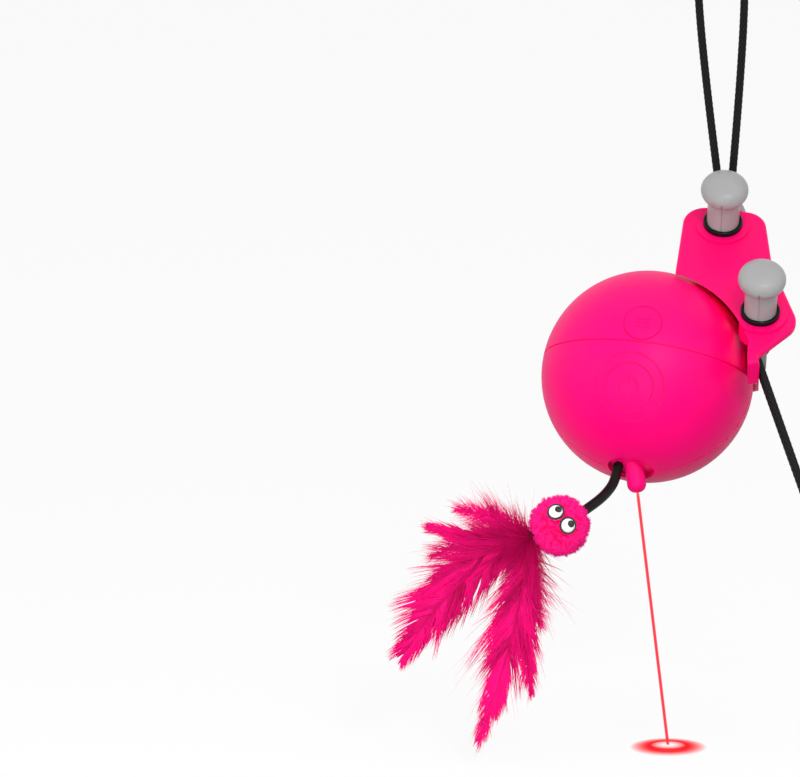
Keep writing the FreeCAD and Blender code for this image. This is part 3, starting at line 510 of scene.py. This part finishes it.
def pompom_fluff(count=11000, tufts=620):
    """Fibres from d*(R - depth) to a tip between their own direction and their tuft's."""
    rng = np.random.default_rng(4)
    d = golden_ball(count)
    middles = unit(golden_ball(tufts) + rng.normal(0, 0.035, (tufts, 3)))
    tuft = np.argmax(d @ middles.T, axis=1)
    tall = rng.normal(0, 0.30, tufts)[tuft]
    lean = rng.normal(0, 0.05, (tufts, 3))[tuft]
    gathered = (1 - GATHERED) * d + GATHERED * middles[tuft]
    tip_d = unit(gathered + lean + rng.normal(0, 0.03, d.shape))
    root = POMPOM_AT + d * (POMPOM_R - FLUFF_DEEP)
    tip = POMPOM_AT + tip_d * (POMPOM_R + 0.2 + tall + rng.uniform(-0.2, 0.2, count))[:, None]
    bend = rng.normal(0, 0.22, d.shape)
    side = unit(np.cross(d, rng.normal(size=d.shape)))
    chance = rng.uniform(-0.10, 0.10, count) + rng.uniform(-0.12, 0.12, tufts)[tuft]
    print("pompom", count, "fibres in", tufts, "tufts")

    def tone(u, i):
        """Painted shade deep in the fluff: dark root, bright cut end, chance by fibre and tuft."""
        return np.clip(0.10 + 0.90 * u + chance[i], 0, 1)

    return spikes("pompom_fluff", root, tip - root - bend, bend, np.full(count, YARN_MM), 0.8,
                  side, tone, steps=2, thin=0.45)


def pompom_core():
    """Ball painted dark as shade behind the fibres: radius * (sin p cos a, sin p sin a, cos p)."""
    p = np.linspace(0.05, np.pi - 0.05, 40)[:, None]
    a = np.linspace(0, 2 * np.pi, 60, endpoint=False)[None]
    d = np.stack(np.broadcast_arrays(np.sin(p) * np.cos(a), np.sin(p) * np.sin(a), np.cos(p)), -1)
    # tone 0.15 paints the core dark, as painted shade deep in the fluff
    return closed_grid("pompom_core", POMPOM_AT + d * (POMPOM_R - FLUFF_DEEP + 0.3), tone=0.15)


for piece in (pompom_core(), pompom_fluff()):
    dress(piece, "pompom_pink")
    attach(piece, "lure")
    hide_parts("pompom")

# %% [markdown]
# ## Eyes
# Two separate round eyes of white felt, each with a black thread edge and a black pupil.
# Felt and pupil are discs that swell in the middle.  Such a disc is a profile turned
# about its axis.

# %% Turned shapes
def turned(name, profile, centre, axis, around=64, **values):
    """Surface of revolution: centre + h*axis + r*(cos a * x + sin a * y)."""
    axis = unit(axis)
    x = unit(np.cross(axis, [0.31, 0.2, 0.93]))
    y = np.cross(axis, x)
    a = np.linspace(0, 2 * np.pi, around, endpoint=False)[None]
    r, h = np.asarray(profile, dtype=float).T
    grid = (centre + h[:, None, None] * axis
            + r[:, None, None] * (np.cos(a)[..., None] * x + np.sin(a)[..., None] * y))
    return closed_grid(name, grid, **values)


def dome(radius, height, under, count=14):
    """Profile of a cushion: r = R cos t, h = H sin t above, and straight down below."""
    t = np.linspace(0, np.pi / 2, count)
    top = np.column_stack([radius * np.cos(t), height * np.sin(t)])
    return np.concatenate([[(radius, -under)], top[:-1], [(0.02, height)]])


# %% [markdown]
# ## Thread edge and the two eyes
# A ring bent round the felt is a thin tube whose radius swells once per stitch.  The eyes
# sit on the pompom's front.  Each pupil is moved off its middle, towards where it looks.

# %% Eyes
EYES = {"left": (-1.06, -7.59, 6.06), "right": (2.8, -9.19, 2.0)}
EYE_R = 2.45
PUPIL_R = 1.15
THREAD_R = 0.34
STITCHES = 26
LOOK = np.array([0.85, 0.10, 0.49])


def thread_ring(name, centre, axis, radius, thread=THREAD_R):
    """Ring: centre + (R + w cos t)(cos a * x + sin a * y) + w sin t * axis, w in stitches."""
    x = unit(np.cross(axis, [0.31, 0.2, 0.93]))
    y = np.cross(axis, x)
    a = np.linspace(0, 2 * np.pi, 156, endpoint=False)[:, None, None]
    t = np.linspace(0, 2 * np.pi, 10, endpoint=False)[None, :, None]
    w = thread * (1 + 0.10 * np.sin(STITCHES * a))
    spoke = np.cos(a) * x + np.sin(a) * y
    grid = centre + (radius + w * np.cos(t)) * spoke + w * np.sin(t) * axis
    rows, around, _ = grid.shape
    quads = ring_faces(rows + 1, around) % (rows * around)
    return smooth_mesh(name, grid.reshape(-1, 3), quads.tolist())


for side, away in EYES.items():
    out = unit(away)
    at = POMPOM_AT + out * (POMPOM_R - 0.1)
    look = LOOK - out * (LOOK @ out)
    white = turned("eye_%s_white" % side, dome(EYE_R, 1.1, 1.4), at, out)
    rim = thread_ring("eye_%s_rim" % side, at + out * 0.25, out, EYE_R + 0.05)
    pupil = turned("pupil_%s" % side, dome(PUPIL_R, 0.45, 0.9), at + out * 0.92 + look, out, 40)
    for piece, finish_name, slot_name in ((white, "eye_white", "eye_white"),
                                          (rim, "eye_black", "eye_white"),
                                          (pupil, "eye_black", "eye_black")):
        dress(piece, finish_name)
        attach(piece, "lure")
    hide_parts("eye_" + side)
    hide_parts("pupils")
print("eyes:", len(EYES), "of", 2 * EYE_R, "mm")

# %% [markdown]
# ## Feathers
# A feather is a tapering shaft with barbs on both sides.  Neighbouring barbs cling
# together in locks, and a lock ends in one point: that is what makes a dyed feather spiky.
# So each barb has its own tip first, and is then pulled towards the mean tip of its lock.
# A few strays stay free and reach further, and a shorter under-layer closes the gaps.
# Three kinds differ in their angles, in the size of their locks and in how hard they pull.

# %% Kinds of feather and their barbs
# kind: degrees from the shaft at root and tip, barbs per lock, pull, looseness, barb width
KINDS = {
    "vane": (44, 16, 28, 0.40, 0.20, 0.50),
    "spiky": (33, 9, 24, 0.86, 0.35, 0.28),
    "plume": (46, 20, 8, 0.60, 0.80, 0.16),
}
STRAY, STRAY_MM = 0.14, 0.12
UNDER, UNDER_REACH, UNDER_BROAD = 0.42, 0.66, 2.3
ONLOOKER = np.array([0, -1, 0.2])


def barb_shapes(rng, kind, reach, t, mid, tangent, out, face):
    """Start direction, tip, width and tone of every barb, from its place t on the shaft.

    Own tip = mid + mm * (sin angle * out + cos angle * tangent), and the tip is
    own * (1 - pull) + mean of the lock * pull.
    """
    at_root, at_tip, per_lock, pull, loose, broad = KINDS[kind]
    count = len(t)

    # which lock each barb is in, and which barbs stay free or lie underneath
    lock = np.cumsum(rng.random(count) < 1 / per_lock)
    locks = lock[-1] + 1
    stray = rng.random(count) < STRAY * (0.6 + loose)
    under = rng.random(count) < UNDER
    free = stray & ~under
    swing = rng.normal(0, 5, locks)[lock] + rng.normal(0, 3 + 9 * loose, count)
    angle = np.radians(at_root + (at_tip - at_root) * t ** 1.3 + swing)
    tall = 1 + rng.normal(0, 0.16, locks)[lock] + rng.normal(0, 0.05 + 0.10 * loose, count)
    swell = (0.50 + 0.60 * np.sin(np.pi * t ** 0.75)) * (1 - 0.55 * t ** 3)
    longer = np.where(stray, 1.0 + 0.6 * loose, 1.0)
    mm = reach * swell * tall * longer * np.where(under, UNDER_REACH, 1.0)

    # the barb's own tip, drawn towards the mean tip of its lock
    own = (out * np.sin(angle)[:, None] + tangent * np.cos(angle)[:, None]) * mm[:, None]
    sums = np.stack([np.bincount(lock, (mid + own)[:, k]) for k in range(3)], -1)
    mean = (sums / np.maximum(np.bincount(lock), 1)[:, None])[lock]
    drawn = (pull * np.where(stray | under, 0.0, rng.uniform(0.85, 1.0, count)))[:, None]
    end = (mid + own) * (1 - drawn) + (mean + tangent * 0.12 * mm[:, None]) * drawn
    end = end + rng.normal(0, 1, (count, 3)) * (loose * 0.07 * mm)[:, None]
    lift = rng.normal(0, 0.11 * (0.4 + loose), locks)[lock] + np.where(under, -0.05, 0.03)
    end = end + face * (lift * mm)[:, None]
    wide = angle + np.radians(10)
    start = (out * np.sin(wide)[:, None] + tangent * np.cos(wide)[:, None]) * (mm * 0.85)[:, None]
    width = np.where(free, STRAY_MM, broad * (0.5 + 0.5 * np.sin(np.pi * t)))
    width = width * np.where(under, UNDER_BROAD, 1.0) * rng.uniform(0.8, 1.2, count)
    # chance tone per lock and per barb, plus painted shade on the under-layer and painted light on
    # free strays
    chance = rng.uniform(-0.18, 0.26, locks)[lock] + rng.uniform(-0.10, 0.10, count)
    chance = chance + np.where(under, -0.14, 0.0) + np.where(free, 0.15, 0.0)
    return start, end, width, chance


# %% [markdown]
# ## One feather
# The shaft is a parabola from root to tip.  Barbs start on it at even steps with a little
# chance, half of them on each side, and bend from a wide start towards their tips.

# %% One feather
def feather(name, root, tip, kind, reach, bow, rows, seed, dark):
    """Shaft root + t*(tip-root) + bow*4t(1-t); barb = root + u*start + u^2*(tip - start)."""
    rng = np.random.default_rng(seed)
    axis = np.asarray(tip) - root
    face = unit(ONLOOKER - unit(axis) * (ONLOOKER @ unit(axis)))
    side = np.cross(unit(axis), face)
    count = rows * 2
    t = np.concatenate([np.linspace(0.02, 0.97, rows)] * 2) + rng.normal(0, 0.3 / rows, count)
    t = np.clip(t, 0.01, 0.99)
    sign = np.repeat([1.0, -1.0], rows)
    mid = root + t[:, None] * axis + (4 * t * (1 - t))[:, None] * side * bow
    tangent = unit(axis + (4 - 8 * t)[:, None] * side * bow)
    out = unit(np.cross(tangent, face)) * sign[:, None]
    start, end, width, chance = barb_shapes(rng, kind, reach, t, mid, tangent, out, face)

    def tone(u, i):
        """Painted shade by the quill's root, painted light to the feather's tip and barb ends."""
        far = np.sqrt(t[i])
        level = 0.03 + far * (0.52 + 0.48 * u) + 0.25 * u * (1 - far)
        return np.clip(level + chance[i] - dark, 0, 1)

    barbs = spikes(name + "_barbs", mid, start, end - mid - start, width, 0.25,
                   np.broadcast_to(face, mid.shape), tone, steps=5, thin=0.7)
    s = np.linspace(0, 1, 40)
    shaft_line = root + s[:, None] * axis + (4 * s * (1 - s))[:, None] * side * bow
    # the quill's tone is painted shade at its root, lighter to the tip
    shaft = along_line(shaft_line, face, (0.40 * (1 - s) + 0.05)[:, None], 8, name + "_shaft",
                       tone=0.15 + 0.3 * s[:, None])
    print(name, round(float(np.linalg.norm(axis)), 1), "mm,", count, "barbs")
    return barbs, shaft


# %% [markdown]
# ## The bound tuft
# Five feathers leave the binding behind the pompom, each with a smaller one beside it.
# Loose down, painted dark as shade, covers the place where they start.

# %% Tuft
TUFT_AT = BALL_CENTRE + np.array([-36.4, -41.5, -44.2])
TUFT_ROOT = TUFT_AT + unit(TUFT_AT - POMPOM_AT) * 0.8
DOWN_MM = 0.15
FIRST_SEED = 21


def tip_at(x, y, z):
    """Place of a feather's tip, measured from the middle of the ball."""
    return BALL_CENTRE + np.array([x, y, z])


# name: list of (tip, kind, barb length, bow, rows, darker); the first is the main one
FEATHERS = {
    "feather_long_left": [
        (tip_at(-79.2, -57.2, -83.6), "vane", 18.5, 5.0, 480, 0.0),
        (tip_at(-72.0, -51.5, -61.5), "spiky", 14.0, 2.0, 280, 0.06)],
    "feather_long_down": [
        (tip_at(-53.8, -74.2, -105.6), "spiky", 19.0, -2.0, 460, -0.06),
        (tip_at(-47.6, -68.5, -99.0), "spiky", 14.0, 3.0, 300, 0.0)],
    "feather_short_down": [
        (tip_at(-36.3, -63.0, -92.5), "spiky", 13.0, 2.0, 360, 0.02),
        (tip_at(-33.5, -55.0, -72.0), "plume", 11.0, 2.0, 220, 0.0)],
    "plume_left": [
        (tip_at(-71.2, -40.0, -41.5), "spiky", 11.0, -2.0, 360, 0.04),
        (tip_at(-70.0, -43.0, -51.0), "plume", 10.0, 1.5, 300, 0.06)],
    "plume_up": [
        (tip_at(-62.5, -36.0, -37.0), "plume", 8.5, 2.0, 320, 0.0),
        (tip_at(-52.5, -35.0, -38.0), "plume", 8.0, -1.0, 240, 0.03)],
}


def root_down(count=2200):
    """Loose fibres, painted dark as shade, that fan out from the binding over the feathers' roots.
    """
    rng = np.random.default_rng(9)
    mean = unit([-0.75, -0.25, -0.55])
    d = unit(mean + rng.normal(0, 0.55, (count, 3)))
    mm = rng.uniform(6, 15, count)[:, None]
    root = TUFT_ROOT + rng.normal(0, 0.6, (count, 3))
    bend = unit(rng.normal(size=(count, 3))) * mm * 0.25
    chance = rng.uniform(-0.10, 0.15, count)

    def tone(u, i):
        """Painted shade: dark, and a little brighter to the end."""
        return np.clip(chance[i] + 0.40 * u, 0, 1)

    return spikes("feather_root_down", root, d * mm, bend, np.full(count, DOWN_MM), 0.8,
                  unit(np.cross(d, [0.3, 0.5, 0.8])), tone, steps=5, thin=0.6)


made = [("feather_long_down", root_down())]
seed = FIRST_SEED
for name, rows in FEATHERS.items():
    for i, (tip, kind, reach, bow, barbs, dark) in enumerate(rows):
        label = name + ("_small_%d" % i if i else "")
        for piece in feather(label, TUFT_ROOT, tip, kind, reach, bow, barbs, seed, dark):
            made.append((name, piece))
        seed += 1
for name, piece in made:
    dress(piece, "feather_magenta")
    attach(piece, "lure")
    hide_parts(name)

# %% [markdown]
# ## Floor
# The floor is only a stage.  It glows white to the camera, to gloss and to clear parts,
# and lights nothing.  A little diffuse colour on top of the glow takes a soft shadow.

# %% Floor
FLOOR_Z = -244.6
FLOOR_GLOW, FLOOR_DIFFUSE = 0.86, 0.13


def seen_plainly(tree):
    """A node that gives 1 to rays of the camera, of clear parts and of gloss, and else 0."""
    path = tree.nodes.new("ShaderNodeLightPath")
    last, last_out = path, "Is Camera Ray"
    for ray in ("Is Transmission Ray", "Is Glossy Ray"):
        either = tree.nodes.new("ShaderNodeMath")
        either.operation = "MAXIMUM"
        link(tree, last, last_out, either, 0)
        link(tree, path, ray, either, 1)
        last, last_out = either, 0
    return last


def bare_material(name):
    """A material with nothing but its output, and its tree."""
    mat = bpy.data.materials.new(name)
    mat.use_nodes = True
    mat.node_tree.nodes.remove(mat.node_tree.nodes["Principled BSDF"])
    return mat, mat.node_tree


def floor_material():
    """Glow that is seen but lights nothing, plus a little diffuse for faint shadows."""
    mat, tree = bare_material("floor white")
    emit, soft = tree.nodes.new("ShaderNodeEmission"), tree.nodes.new("ShaderNodeBsdfDiffuse")
    emit.inputs["Color"].default_value = (FLOOR_GLOW, FLOOR_GLOW, FLOOR_GLOW, 1)
    soft.inputs["Color"].default_value = (FLOOR_DIFFUSE, FLOOR_DIFFUSE, FLOOR_DIFFUSE, 1)
    add = tree.nodes.new("ShaderNodeAddShader")
    link(tree, seen_plainly(tree), 0, emit, "Strength")
    link(tree, emit, 0, add, 0)
    link(tree, soft, 0, add, 1)
    link(tree, add, 0, tree.nodes["Material Output"], "Surface")
    return mat


def flat_floor(size=30000.0):
    """One square in the plane z = floor height."""
    s = size / 2
    points = np.array([(-s, -s, FLOOR_Z), (s, -s, FLOOR_Z), (s, s, FLOOR_Z), (-s, s, FLOOR_Z)])
    floor = smooth_mesh("floor", points, [(0, 1, 2, 3)])
    floor.data.materials.append(floor_material())
    print("floor", round(-FLOOR_Z), "mm below the hook")


flat_floor()

# %% [markdown]
# ## Beam and spot
# The beam is light and not part of the toy, and it goes with the nozzle.  Light has no
# surface, so the tube is clearest where it turns away from the eye, and the spot is
# painted light on the floor that fades out from its white middle through red to nothing.

# %% Beam and spot
BEAM_R = 0.55
BEAM_COVER = 0.95
SPOT_R = 12.5
SPOT_HUES = ((0.15, (1, 0.9, 0.9)), (0.45, (1, 0.02, 0.03)))
SPOT_COVER = ((0.5, (1, 1, 1)), (1.0, (0, 0, 0)))
NOZZLE_AIM = unit(np.array([0.240, 0.361, -0.9006]) @ np.array([BALL_X, BALL_BACK, BALL_UP]))
NOZZLE_ROOT = from_ball([0.6, 0.4, -31.4])
NOZZLE_TIP = NOZZLE_ROOT + 9.6 * NOZZLE_AIM


def glow_over_clear(tree, cover, out):
    """Emission over a see-through shader, covered by as much as the given output says."""
    emit, clear = tree.nodes.new("ShaderNodeEmission"), tree.nodes.new("ShaderNodeBsdfTransparent")
    mix = tree.nodes.new("ShaderNodeMixShader")
    link(tree, cover, out, mix, "Fac")
    link(tree, clear, 0, mix, 1)
    link(tree, emit, 0, mix, 2)
    link(tree, mix, 0, tree.nodes["Material Output"], "Surface")
    return emit


def beam_material():
    """Red glow that covers most where the tube faces the eye."""
    mat, tree = bare_material("beam red")
    facing = tree.nodes.new("ShaderNodeLayerWeight")
    facing.inputs["Blend"].default_value = 0.5
    amount = tree.nodes.new("ShaderNodeMapRange")
    amount.inputs["To Min"].default_value = BEAM_COVER
    amount.inputs["To Max"].default_value = 0.0
    link(tree, facing, "Facing", amount, "Value")
    emit = glow_over_clear(tree, amount, "Result")
    emit.inputs["Color"].default_value = (1.0, 0.05, 0.08, 1)
    return mat


def spot_material(centre):
    """White middle, red ring and clear rim, by distance from the centre over the radius."""
    mat, tree = bare_material("spot red")
    where, away = tree.nodes.new("ShaderNodeTexCoord"), tree.nodes.new("ShaderNodeVectorMath")
    away.operation = "DISTANCE"
    away.inputs[1].default_value = centre * MM
    share = tree.nodes.new("ShaderNodeMapRange")
    share.inputs["From Max"].default_value = SPOT_R * MM
    link(tree, where, "Object", away, 0)
    link(tree, away, "Value", share, "Value")
    hue, cover = tree.nodes.new("ShaderNodeValToRGB"), tree.nodes.new("ShaderNodeValToRGB")
    for ramp, stops in ((hue, SPOT_HUES), (cover, SPOT_COVER)):
        link(tree, share, "Result", ramp, "Fac")
        for element, (place, colour) in zip(ramp.color_ramp.elements, stops):
            element.position = place
            element.color = (*colour, 1)
    link(tree, hue, "Color", glow_over_clear(tree, cover, "Color"), "Color")
    return mat


beam_mm = (NOZZLE_TIP[2] - FLOOR_Z) / -NOZZLE_AIM[2]
beam_line = NOZZLE_TIP + np.linspace(0, beam_mm - 0.3, 30)[:, None] * NOZZLE_AIM
beam = along_line(beam_line, (0, 1, 0), BEAM_R, 24, "beam")
beam.data.materials.append(beam_material())
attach(beam, "turret")
spot_at = beam_line[-1]
spot_profile = [(0.02, 0.8), (4, 0.75), (8, 0.55), (11, 0.3), (SPOT_R, 0.0), (0.02, -0.01)]
spot = turned("beam_spot", spot_profile, spot_at, (0, 0, 1))
spot.data.materials.append(spot_material(spot_at))
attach(spot, "turret")
print("beam", round(float(beam_mm), 1), "mm")

# %% [markdown]
# ## Lamps and world
# Plain soft light shows a colour about as it is written.  A small key lamp high on the
# right makes the one highlight on the ball, a long low lamp lights its underside, and two
# side lamps and a top lamp are only fill, so gloss doesn't show them.  The world is white
# to the camera and gives less light than it shows.

# %% Lamps and world
# name: place, width and height in metres, watts, shows in gloss, spread in degrees
LAMPS = {
    "key": ((0.175, -0.76, 0.35), (0.22, 0.22), 2.6, True, 180),
    "low fill": ((-0.16, -0.46, -0.16), (0.6, 0.09), 0.36, False, 75),
    "left": ((-0.75, -0.15, -0.05), (0.4, 0.8), 0.8, False, 180),
    "right": ((0.70, -0.15, -0.10), (0.4, 0.8), 0.8, False, 180),
    "top": ((0.0, 0.1, 0.75), (0.6, 0.6), 0.9, False, 180),
}
WORLD_LIGHT = 0.66


def softbox(name, at, size, power, mirrored, spread):
    """Area lamp at a place, turned to face the ball."""
    data = bpy.data.lights.new(name, "AREA")
    data.shape = "RECTANGLE"
    data.size, data.size_y = size
    data.energy = power
    data.spread = math.radians(spread)
    lamp = bpy.data.objects.new(name, data)
    bpy.context.scene.collection.objects.link(lamp)
    lamp.location = at
    lamp.visible_glossy = mirrored
    lamp.visible_camera = False
    target = Vector(BALL_CENTRE * MM)
    lamp.rotation_euler = (target - lamp.location).to_track_quat("-Z", "Y").to_euler()


for name, lamp in LAMPS.items():
    softbox(name, *lamp)

world = bpy.data.worlds.new("studio")
bpy.context.scene.world = world
world.use_nodes = True
tree = world.node_tree
background = tree.nodes["Background"]
level = tree.nodes.new("ShaderNodeMapRange")
level.inputs["To Min"].default_value = WORLD_LIGHT
level.inputs["To Max"].default_value = 1.0
link(tree, seen_plainly(tree), 0, level, "Value")
link(tree, level, "Result", background, "Strength")
background.inputs["Color"].default_value = (1, 1, 1, 1)
bpy.context.scene.view_settings.view_transform = "Standard"
print("lamps:", len(LAMPS))
